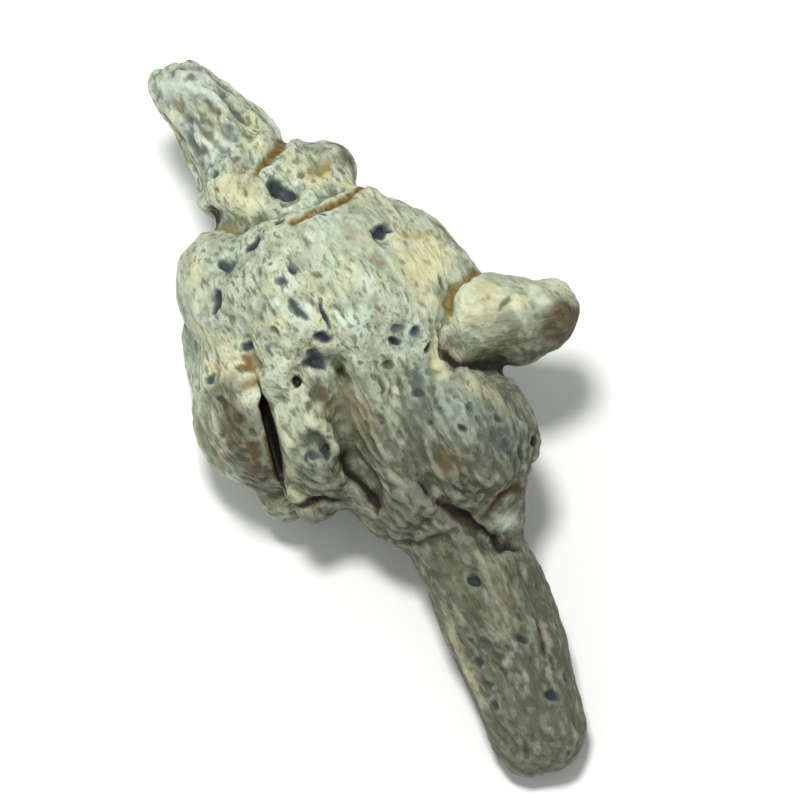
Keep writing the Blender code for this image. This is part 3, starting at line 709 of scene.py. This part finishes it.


# Patches of colour that cover more than one fold: a yellow bloom on the collar, olive brown
# low on the left lobes, a slate cast over the right lobe, pale knobs, and smooth plain places.
# The darkening patches on the collar's right rim, the lobes' lower sides, the finger's lower side
# and tip, and the leg are partly painted shade; the cream along the right lobe's upper edge is
# painted highlight.
PATCHES = (
    # tint, how much of it, radius, and the points that it lies round
    # the stub
    ("tan", 0.35, 1.4, ((-25.0, -2.5, 14.1), (-24.0, -1.8, 15.1))),
    ("teal", 1.0, 3.2, ((-26.4, -1.6, 14.0), (-23.4, -1.4, 15.0), (-20.6, -1.2, 15.4))),
    ("light", 0.7, 1.2, ((-26.8, -3.0, 13.4), (-26.4, -1.8, 14.2), (-25.8, -0.4, 14.6))),
    ("blue", 0.6, 1.6, ((-22.6, -3.3, 14.0), (-20.0, -3.2, 14.4))),
    # the collar
    ("cream", 0.65, 2.2, ((-15.1, -3.3, 16.5), (-13.2, -2.4, 17.0))),
    ("cream", 0.6, 1.4, ((-18.1, 0.6, 16.5), (-20.3, 1.5, 15.5))),
    ("gold", 0.5, 1.1, ((-15.8, -2.2, 16.9), (-14.0, -1.2, 17.4))),
    ("gold", 0.5, 0.7, ((-14.3, -1.0, 17.4), (-13.6, -1.5, 17.4))),
    ("gold", 0.5, 0.8, ((-17.6, 1.9, 16.0), (-17.0, 1.0, 16.7))),
    ("gold", 0.85, 1.0, ((-13.3, 3.5, 17.0), (-13.4, 4.4, 16.6))),
    ("cream", 0.9, 0.7, ((-12.5, 4.2, 17.1), (-12.2, 3.4, 17.6))),
    ("olive", 0.8, 0.9, ((-15.7, 4.1, 16.6), (-14.3, 5.3, 17.0), (-13.4, 6.7, 16.1))),
    ("shade_and_dull_skin", 0.8, 0.8, ((-15.6, 6.6, 15.5), (-14.1, 6.8, 16.3), (-13.0, 6.8, 15.6))),
    ("tan", 0.5, 1.0, ((-16.6, -1.2, 16.8), (-15.2, -1.7, 17.1))),
    # the shoulders and the belly
    ("gold", 0.8, 0.5, ((-4.7, 6.8, 18.7), (-4.0, 7.8, 18.5), (-4.3, 9.2, 17.7))),
    ("tan", 0.7, 0.5, ((-2.6, 3.5, 21.7), (-2.0, 3.6, 21.5))),
    ("olive", 0.4, 0.8, ((-5.4, -4.8, 21.2), (-4.6, -4.4, 21.7))),
    ("olive", 0.45, 0.8, ((-3.7, -6.9, 19.4), (-3.0, -6.2, 19.9))),
    ("olive", 0.5, 0.9, ((-4.6, -10.0, 15.0), (-3.8, -9.8, 15.4))),
    ("cream", 0.7, 1.0, ((-10.3, -8.1, 16.6), (-9.4, -8.4, 16.4))),
    ("cream", 0.8, 1.1, ((-2.8, -10.5, 14.6), (-1.6, -10.2, 15.2))),
    ("cream", 0.6, 0.8, ((-1.6, -5.5, 20.5), (-0.9, -5.1, 20.4))),
    ("blue", 0.8, 1.2, ((-8.3, -10.1, 13.9), (-9.8, -9.4, 7.7))),
    ("teal", 0.6, 1.8, ((-9.6, -7.8, 16.8), (-6.4, -9.0, 16.8))),
    ("teal", 0.7, 0.8, ((-1.4, 9.8, 17.6), (-0.6, 10.2, 17.2))),
    ("olive", 1.0, 0.7, ((-4.7, 10.4, 16.8), (-3.8, 10.7, 16.7), (-3.0, 11.0, 16.3))),
    ("cream", 0.9, 1.8, ((-1.0, 6.7, 19.4), (-2.6, 9.2, 18.2))),
    ("blue", 0.6, 1.3, ((1.4, -4.2, 19.0), (2.2, -3.4, 18.8))),
    ("blue", 0.35, 1.5, ((-1.0, -3.0, 21.2), (1.6, -2.4, 20.2))),
    # the left lobes and the slit between them
    ("olive", 1.0, 1.3, ((0.7, -10.9, 15.2), (2.4, -11.1, 15.0))),
    ("rust", 0.45, 1.1, ((1.9, -10.6, 15.6), (2.9, -11.3, 14.6))),
    ("shade_and_dull_skin", 0.85, 1.5, ((-0.4, -11.0, 15.0), (1.6, -10.6, 15.6))),
    ("shade_and_dull_skin", 0.5, 0.9, ((-0.2, -9.4, 16.2), (0.8, -9.3, 15.6))),
    ("olive", 0.8, 0.9, ((-0.2, -9.4, 16.2), (0.8, -9.3, 15.6))),
    ("shade_and_dull_skin", 0.6, 1.8, ((-0.6, -12.5, 9.2), (2.1, -12.6, 9.0))),
    ("shade_and_dull_skin", 1.0, 2.2, (
        (2.5, -10.9, 15.1), (4.7, -11.1, 13.9), (5.7, -10.8, 11.6), (5.7, -10.1, 8.2),
    )),
    ("olive", 0.9, 1.8, (
        (2.5, -10.9, 15.1), (4.7, -11.1, 13.9), (5.7, -10.8, 11.6), (5.7, -10.1, 8.2),
    )),
    ("rust", 0.7, 0.6, ((4.6, -10.3, 14.6), (4.9, -10.2, 14.0))),
    ("rust", 0.7, 0.6, ((5.4, -11.1, 12.5), (5.6, -10.9, 11.8))),
    ("tan", 0.9, 0.5, ((3.6, -8.1, 15.2), (4.1, -8.2, 13.9))),
    ("olive", 1.0, 2.6, ((0.9, -12.3, 12.6), (4.0, -12.1, 11.8))),
    ("olive", 1.0, 1.3, ((4.6, -10.2, 14.6), (5.6, -10.7, 12.9))),
    ("rust", 0.8, 0.5, ((5.4, -10.8, 13.0), (5.9, -10.7, 12.3))),
    ("shade_and_dull_skin", 0.5, 1.6, ((7.2, -6.8, 16.0), (9.0, -6.4, 14.6))),
    ("cream", 1.0, 1.1, ((8.5, -8.4, 10.5), (8.9, -8.2, 10.3))),
    ("light", 0.5, 0.6, ((9.1, -6.9, 14.3), (9.6, -7.0, 13.2))),
    # the groove beside them and the shaft
    ("olive", 1.0, 1.6, ((4.3, -4.2, 17.7), (6.4, -3.4, 16.4), (8.6, -3.0, 15.2))),
    ("rust", 0.55, 0.9, ((4.4, -4.6, 17.6), (5.6, -4.0, 17.0))),
    ("olive", 0.9, 0.8, ((2.7, -2.5, 17.9), (3.9, -2.1, 17.1))),
    ("tan", 0.5, 1.2, ((5.2, -2.2, 17.0), (7.2, -1.8, 16.8))),
    ("shade_and_dull_skin", 0.6, 1.2, ((4.9, -1.3, 18.3), (5.8, -1.0, 18.1))),
    ("gold", 0.45, 1.0, ((5.6, -3.1, 15.9), (6.8, -3.0, 16.0), (8.0, -2.6, 15.8))),
    # the finger: its lower side and tip darkened, partly with painted shade
    ("olive", 0.8, 1.5, ((5.4, 8.4, 16.8), (6.2, 10.8, 17.0), (6.8, 13.3, 17.2))),
    ("rust", 1.0, 1.5, ((6.5, 15.7, 17.9), (7.0, 16.2, 16.8))),
    ("rust", 0.6, 1.2, ((6.7, 14.3, 17.9), (6.5, 15.7, 17.7))),
    ("shade_and_dull_skin", 1.0, 1.8, ((6.6, 14.6, 17.8), (6.8, 16.4, 16.8))),
    ("olive", 1.0, 1.5, ((6.2, 16.4, 17.2), (6.8, 17.0, 15.6))),
    ("rust", 1.0, 1.1, ((5.8, 16.1, 17.5), (6.8, 16.0, 17.2))),
    ("dark", 0.45, 0.8, ((6.0, 16.4, 17.2), (6.9, 16.2, 16.9))),
    ("cream", 0.6, 2.0, ((2.0, 10.4, 18.2), (3.6, 9.6, 18.2))),
    ("shade_and_dull_skin", 0.45, 1.8, ((4.8, 9.4, 17.8), (5.2, 11.0, 18.0))),
    ("olive", 1.0, 1.0, ((7.7, 11.9, 15.3), (7.8, 13.2, 15.9), (7.5, 15.1, 16.7))),
    ("rust", 0.6, 0.7, ((7.8, 13.2, 15.6), (7.6, 15.1, 16.4))),
    ("shade_and_dull_skin", 0.9, 1.6, (
        (6.0, 7.4, 14.6), (7.6, 11.0, 14.6), (8.0, 14.6, 15.0), (7.0, 17.2, 15.4),
    )),
    # the right lobe, with painted highlight on its upper edge and painted shade on its lower side,
    # and the bead below it
    ("blue", 1.0, 2.2, ((9.4, 3.4, 17.6), (11.5, 5.0, 17.4), (13.4, 6.9, 16.0))),
    ("blue", 0.6, 1.8, ((3.8, 3.8, 19.0), (6.6, 2.6, 17.4))),
    ("cream", 0.8, 0.9, ((8.6, 6.2, 17.9), (10.0, 7.4, 17.5), (11.4, 8.2, 16.4))),
    ("gold", 0.5, 1.0, ((12.8, 2.0, 16.3), (13.8, 2.6, 16.1))),
    ("rust", 0.65, 0.8, ((12.8, 1.9, 16.3), (13.2, 2.0, 16.1))),
    ("olive", 0.9, 1.0, ((12.2, 1.4, 16.2), (13.4, 2.4, 16.2))),
    ("olive", 0.9, 1.4, ((13.6, 3.4, 16.6), (14.9, 2.5, 15.6), (16.1, 3.4, 14.4))),
    ("shade_and_dull_skin", 1.0, 1.8, ((15.8, 3.3, 14.7), (15.3, 5.0, 16.0), (14.8, 7.1, 15.0))),
    ("cream", 0.8, 0.5, ((9.9, 7.2, 17.5), (10.8, 8.0, 16.5))),
    ("light", 0.8, 1.0, ((17.8, 4.7, 11.7), (18.1, 4.9, 11.3))),
    # the leg, darker, partly with painted shade
    ("blue", 0.5, 1.2, ((22.0, -1.6, 8.9), (23.0, -1.4, 8.6))),
    ("cream", 0.4, 1.3, ((19.6, 2.6, 10.6), (23.0, 1.6, 10.0))),
    ("shade_and_dull_skin", 1.0, 3.6, ((22.0, 0.6, 9.4), (26.0, 0.6, 8.4), (31.0, 1.0, 7.0))),
    # smooth skin without flecks
    ("plain", 1.0, 3.2, ((-5.2, 3.0, 20.8), (-1.6, 6.6, 19.4))),
    ("plain", 1.0, 2.2, ((-10.0, -9.0, 14.0), (-7.0, -9.8, 14.4))),
    ("plain", 1.0, 4.0, ((1.4, 9.4, 18.0), (4.6, 14.0, 18.0))),
    ("plain", 1.0, 1.2, ((4.2, 5.4, 17.4), (5.2, 5.0, 16.7), (6.6, 4.8, 17.1))),
    ("plain", 0.6, 2.2, ((-7.6, 0.0, 21.0), (-5.4, 0.4, 21.9))),
)
# where along the trunk the darker lower half, partly painted shade, begins and is full, and how
# dark it is
SHADE_AND_DULL_FROM = (1.0, 12.0)
SHADE_AND_DULL_SHARE = 0.86
SHADE_HELD_BACK = (
    # the point that it lies round, radius, and how much of the painted shade and dull skin is held
    # back there
    ((10.2, 4.8, 17.9), 2.6, 0.45),
    ((17.9, 4.8, 11.5), 1.1, 0.5),
    ((7.7, 0.2, 16.8), 1.5, 0.25),
    ((22.6, -3.0, 7.6), 1.3, 0.4),
    ((26.0, -3.2, 6.6), 1.3, 0.4),
)

for name, amount, radius, places in PATCHES:
    tint(name, amount * nearness(line_on_skin(places), 2 * radius, run_out=0))
# painted shade and duller skin over the lower half, held back in a few pale places
tint("shade_and_dull_skin", SHADE_AND_DULL_SHARE * ramp(skin[:, 0], *SHADE_AND_DULL_FROM))
for place, radius, missing in SHADE_HELD_BACK:
    tints["shade_and_dull_skin"] *= 1 - missing * around(place, radius)


# The relief is laid on the skin, held back inside the slit, where the walls are close, and on
# the flat feet, which stay where the solid rests. The skin keeps inside the solid's own box.
# the height at which the relief is full, where the search for room starts and ends, and the
# share of that room that the relief may fill
CALM_HEIGHT = 0.5
NEAR = 0.05
FAR = 3.0
ROOM_SHARE = 0.35
HOLLOWS = {
    # rounds of evening out, and the depth in millimetres that counts as full
    "hollow": (9, 0.05),
    "dip": (180, 0.4),
}
TRIANGLES = 190000


def hollowness(rounds, deep):
    """How far each point lies below its surroundings: one where that deep, minus one on a crest."""
    mesh = root.data
    ends = np.empty(len(mesh.edges) * 2, np.int32)
    mesh.edges.foreach_get("vertices", ends)
    first, second = ends.reshape(-1, 2).T
    count = len(mesh.vertices)
    friends = np.bincount(first, minlength=count) + np.bincount(second, minlength=count)
    places, normals = read_skin()
    evened = places.copy()
    for _ in range(rounds):
        for axis in range(3):
            near = np.bincount(first, evened[second, axis], count)
            near += np.bincount(second, evened[first, axis], count)
            evened[:, axis] = near / friends
    return np.clip(np.sum((evened - places) * normals, axis=1) / deep, -1, 1)


def room(way):
    """How far it is from each point to the skin across from it, outwards or inwards."""
    gaps = np.full(len(skin), FAR)
    for index, line in enumerate(outward * way):
        gap = skin_tree.ray_cast(Vector(skin[index] + line * NEAR), Vector(line), FAR)[3]
        if gap is not None:
            gaps[index] = gap
    return gaps


calm = (1 - in_slit) * ramp(skin[:, 2] + HEART[2], 0.0, CALM_HEIGHT)
relief = np.clip(relief, -ROOM_SHARE * room(-1), ROOM_SHARE * room(1)) * calm
least, most = SLIT_CLOSING
drawn_in = (least + (most - least) * slit_end) * in_slit * slit_side
moved = skin + HEART + swelling + outward * relief[:, None] - drawn_in[:, None] * slit_across
moved *= MM
root.data.vertices.foreach_set("co", np.clip(moved, *np.array(cad_box)).ravel())
root.data.update()
ease(1)

for name, (rounds, deep) in HOLLOWS.items():
    tints[name] = hollowness(rounds, deep)
for name, values in tints.items():
    layer = root.data.attributes.new(name, "FLOAT", "POINT")
    layer.data.foreach_set("value", values.astype(np.float32))
layer = root.data.attributes.new("grain", "FLOAT_VECTOR", "POINT")
layer.data.foreach_set("vector", grain.astype(np.float32).ravel())
thin_out = root.modifiers.new("thin out", "DECIMATE")
thin_out.ratio = TRIANGLES / sum(len(face.vertices) - 2 for face in root.data.polygons)
bpy.ops.object.modifier_apply(modifier=thin_out.name)
bpy.ops.object.shade_smooth()


# Dried root skin: a dull, papery cork that has been washed and tumbled. It looks pale sage and
# dusty, with painted highlight on its crests, slate to near black in its pits, rust brown in its
# cracks, and painted shade in its creases, dips and lower half. Each coat of colour goes over the
# last one, where a random pattern or a tint calls for it.
SAGE = "#B5C0A4"
PATTERNS = {
    # patch length along the grain and width across it in millimetres, detail, roughness
    "mottle": (2.4, 1.6, 4.0, 0.6),
    "clouds": (5.0, 4.0, 3.0, 0.55),
    "bloom": (3.4, 2.4, 3.0, 0.55),
    "streaks": (3.0, 0.8, 3.0, 0.55),
    "flecks": (1.1, 0.42, 2.0, 0.5),
    "crumbs": (0.42, 0.26, 2.0, 0.5),
    "grit": (0.9, 0.55, 2.0, 0.5),
}
COATS = (
    # what it looks like, its colour, what it follows, where that starts and is full, how much
    # there is of it at most, and the pattern that breaks it up, from least to full
    ("grey dust", "#8B957F", "mottle", 0.36, 0.66, 0.85, None),
    ("cream clouds", "#D2CC9E", "clouds", 0.46, 0.7, 0.7, None),
    ("mint bloom", "#BED0BE", "bloom", 0.5, 0.7, 0.75, None),
    ("tan streaks", "#B0997E", "streaks", 0.56, 0.74, 0.5, None),
    ("grey-green cast", "#84958C", "teal", 0.05, 0.8, 0.85, ("streaks", 0.6, 0.4, 0.35)),
    # the lower half: duller skin, partly painted shade
    ("dull lower skin and painted shade", "#78775F", "shade_and_dull_skin", 0.05, 1.0, 0.85, ("mottle", 0.25, 0.6, 0.8)),
    ("olive brown", "#66603E", "olive", 0.05, 1.0, 0.9, ("mottle", 0.3, 0.65, 0.5)),
    ("slate cast", "#778B86", "blue", 0.05, 1.0, 0.9, ("grit", 0.35, 0.6, 0.45)),
    ("yellow bloom", "#DDD6A2", "cream", 0.05, 0.9, 0.85, ("mottle", 0.75, 0.3, 0.6)),
    # painted highlight on the crests, partly wear
    ("painted highlight and wear on crests", "#DDE3CC", "hollow", -0.2, -1.0, 0.35, ("shade_and_dull_skin", 0.9, 0.1, 0.35)),
    # painted shade in the broad dips and fine creases
    ("painted shade in broad dips", "#585D47", "dip", 0.1, 1.0, 0.45, None),
    ("painted shade in fine creases", "#4E5440", "hollow", 0.15, 1.0, 0.55, None),
    ("flecks", "#525945", "flecks", 0.53, 0.67, 0.7, ("plain", 1.0, 0.0, 0.15)),
    ("crumbs", "#5C634E", "crumbs", 0.56, 0.7, 0.5, ("plain", 1.0, 0.0, 0.25)),
    # pale spots, partly painted highlight
    ("pale spots and painted highlights", "#D5E2D2", "light", 0.1, 1.0, 0.75, ("grit", 0.7, 0.4, 0.7)),
    ("scars", "#4A513D", "speck", 0.05, 0.95, 0.8, ("grit", 0.3, 0.55, 0.5)),
    ("bared tan skin", "#9A7C56", "tan", 0.05, 0.9, 0.85, ("grit", 0.35, 0.6, 0.35)),
    ("golden brown", "#9A853F", "gold", 0.2, 1.0, 0.9, ("grit", 0.3, 0.6, 0.5)),
    ("slate scars", "#5B6967", "slate", 0.02, 0.7, 0.85, ("grit", 0.25, 0.5, 0.75)),
    # painted shade over the lower half and the shaded undersides
    ("shade of the lower skin", "#262414", "shade_and_dull_skin", 0.1, 1.0, 0.7, None),
    # painted highlight on streaks and crests low down, over the painted shade
    ("pale streaks and painted highlight low down", "#A9B19B", "streaks", 0.48, 0.75, 0.5, ("shade_and_dull_skin", 0.1, 0.8, 0.0)),
    ("painted highlight on crests low down", "#B4BCA6", "hollow", -0.3, -1.0, 0.12, ("shade_and_dull_skin", 0.1, 0.8, 0.0)),
    ("dark brown", "#58400F", "rust", 0.15, 0.9, 0.92, ("grit", 0.35, 0.6, 0.45)),
    ("navy floors", "#1F2932", "slate", 0.35, 1.0, 0.95, ("grit", 0.2, 0.45, 0.8)),
    # black in the cracks, the slit and the pits, partly painted shade
    ("black and painted shade in cracks", "#140D07", "dark", 0.15, 0.8, 0.97, None),
)
# cork reflects little: rough where dusty, smoother where rubbed, as the mottle changes
IOR_CORK = 1.45
ROUGHNESS = (0.85, 0.6)
ROUGHNESS_BETWEEN = (0.3, 0.7)
BUMP_HEIGHT = 0.16 * MM
BUMP_STRENGTH = 0.6


def colour(hex_value):
    """A colour that is written as it looks on the screen, as Blender's linear light."""
    channels = [int(hex_value[i:i + 2], 16) / 255 for i in (1, 3, 5)]
    return [c / 12.92 if c <= 0.04045 else ((c + 0.055) / 1.055) ** 2.4 for c in channels] + [1.0]


def add(kind, links=None, **settings):
    """Adds a node to the skin, with its settings, its sockets' values and what feeds them."""
    node = web.nodes.new(kind)
    for name, value in settings.items():
        setattr(node, name, value)
    for name, value in (links or {}).items():
        if isinstance(value, bpy.types.NodeSocket):
            web.links.new(value, node.inputs[name])
        else:
            node.inputs[name].default_value = value
    return node


dried_skin = bpy.data.materials.new("dried_root_skin")
dried_skin.use_nodes = True
web = dried_skin.node_tree
shader = web.nodes["Principled BSDF"]
shares = {}
for name in tints:
    shares[name] = add("ShaderNodeAttribute", attribute_name=name).outputs["Fac"]
grain_place = add("ShaderNodeAttribute", attribute_name="grain").outputs["Vector"]
for name, (along, across, detail, roughness) in PATTERNS.items():
    links = {"Vector": grain_place, "Scale": (1 / along, 1 / across, 1 / across)}
    scaled = add("ShaderNodeMapping", links).outputs["Vector"]
    links = {"Vector": scaled, "Scale": 1.0, "Detail": detail, "Roughness": roughness}
    shares[name] = add("ShaderNodeTexNoise", links).outputs["Fac"]

under = colour(SAGE)
for _, shade, source, low, high, most, pattern in COATS:
    links = {"Value": shares[source], "From Min": low, "From Max": high, "To Max": most}
    share = add("ShaderNodeMapRange", links, interpolation_type="SMOOTHSTEP").outputs["Result"]
    if pattern:
        name, low, high, least = pattern
        links = {"Value": shares[name], "From Min": low, "From Max": high, "To Min": least}
        broken = add("ShaderNodeMapRange", links, interpolation_type="SMOOTHSTEP").outputs["Result"]
        share = add("ShaderNodeMath", {0: share, 1: broken}, operation="MULTIPLY").outputs["Value"]
    links = {"Fac": share, "Color1": under, "Color2": colour(shade)}
    under = add("ShaderNodeMixRGB", links).outputs["Color"]
web.links.new(under, shader.inputs["Base Color"])

low, high = ROUGHNESS_BETWEEN
links = {"Value": shares["mottle"], "From Min": low, "From Max": high}
links |= {"To Min": ROUGHNESS[0], "To Max": ROUGHNESS[1]}
web.links.new(add("ShaderNodeMapRange", links).outputs["Result"], shader.inputs["Roughness"])
shader.inputs["IOR"].default_value = IOR_CORK
surface = add("ShaderNodeMath", {0: shares["flecks"], 1: shares["crumbs"]}, operation="ADD")
links = {"Height": surface.outputs["Value"], "Strength": BUMP_STRENGTH, "Distance": BUMP_HEIGHT}
bump = add("ShaderNodeBump", links)
web.links.new(bump.outputs["Normal"], shader.inputs["Normal"])

root.data.materials.clear()
root.data.materials.append(dried_skin)
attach(root, "root")
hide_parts(SOLID)


# The floor is a plain sheet of matt white card, wide enough to fill the view from every side.
# It is only the stage that the root lies on, and no part of the root.
FLOOR_WIDTH = 3.0
CARD_WHITE = "#F1F1EF"
CARD_ROUGHNESS = 0.9

bpy.ops.mesh.primitive_plane_add(size=FLOOR_WIDTH, location=(0, 0, 0))
floor = bpy.context.object
floor.name = "floor"
card = bpy.data.materials.new("white_card")
card.use_nodes = True
matt = card.node_tree.nodes["Principled BSDF"]
matt.inputs["Base Color"].default_value = colour(CARD_WHITE)
matt.inputs["Roughness"].default_value = CARD_ROUGHNESS
floor.data.materials.append(card)


# The camera looks down on the root from its side, as the photograph does, through a long
# lens. The root lies across the picture, its stub at the upper left and its leg lower right.
AZIMUTH = 63.5
ELEVATION = 65.0
FOCAL_LENGTH = 220.0
SENSOR = 36.0
VIEW_HEIGHT = 62.8
VIEW_CENTRE = (0.5, 0.6, 7.5)
CLIP_START = 0.01
CLIP_END = 10.0

azimuth = math.radians(AZIMUTH)
elevation = math.radians(ELEVATION)
back = Vector((
    math.sin(azimuth) * math.cos(elevation),
    -math.cos(azimuth) * math.cos(elevation),
    math.sin(elevation),
))
right = Vector((math.cos(azimuth), math.sin(azimuth), 0))
up = back.cross(right)
lens = bpy.data.cameras.new("camera")
lens.lens = FOCAL_LENGTH
lens.sensor_width = SENSOR
lens.clip_start = CLIP_START
lens.clip_end = CLIP_END
camera = bpy.data.objects.new("camera", lens)
bpy.context.scene.collection.objects.link(camera)
distance = VIEW_HEIGHT * FOCAL_LENGTH / SENSOR * MM
aim = Vector(VIEW_CENTRE) * MM
camera.location = aim + back * distance
camera.rotation_euler = (-back).to_track_quat("-Z", "Y").to_euler()
bpy.context.scene.camera = camera


# Soft studio light: a key lamp above the picture's upper left, a wide and weak fill from its
# left, and an even pale surround.
LAMPS = {
    # millimetres to the right, up and towards the camera from the root, its width, its watts
    "key": (-50, 200, 430, 80, 1.9),
    "fill": (-300, -60, 320, 300, 0.15),
}
SURROUND_COLOUR = "#F4F7F8"
SURROUND_STRENGTH = 0.46

for name, (aside, above, towards, width, watts) in LAMPS.items():
    lamp = bpy.data.lights.new(name, "AREA")
    lamp.size = width * MM
    lamp.energy = watts
    holder = bpy.data.objects.new(name, lamp)
    bpy.context.scene.collection.objects.link(holder)
    holder.location = aim + (right * aside + up * above + back * towards) * MM
    holder.rotation_euler = (aim - holder.location).to_track_quat("-Z", "Y").to_euler()

surround = bpy.data.worlds.new("surround")
bpy.context.scene.world = surround
surround.use_nodes = True
background = surround.node_tree.nodes["Background"]
background.inputs["Color"].default_value = colour(SURROUND_COLOUR)
background.inputs["Strength"].default_value = SURROUND_STRENGTH
bpy.context.scene.view_settings.view_transform = "Standard"
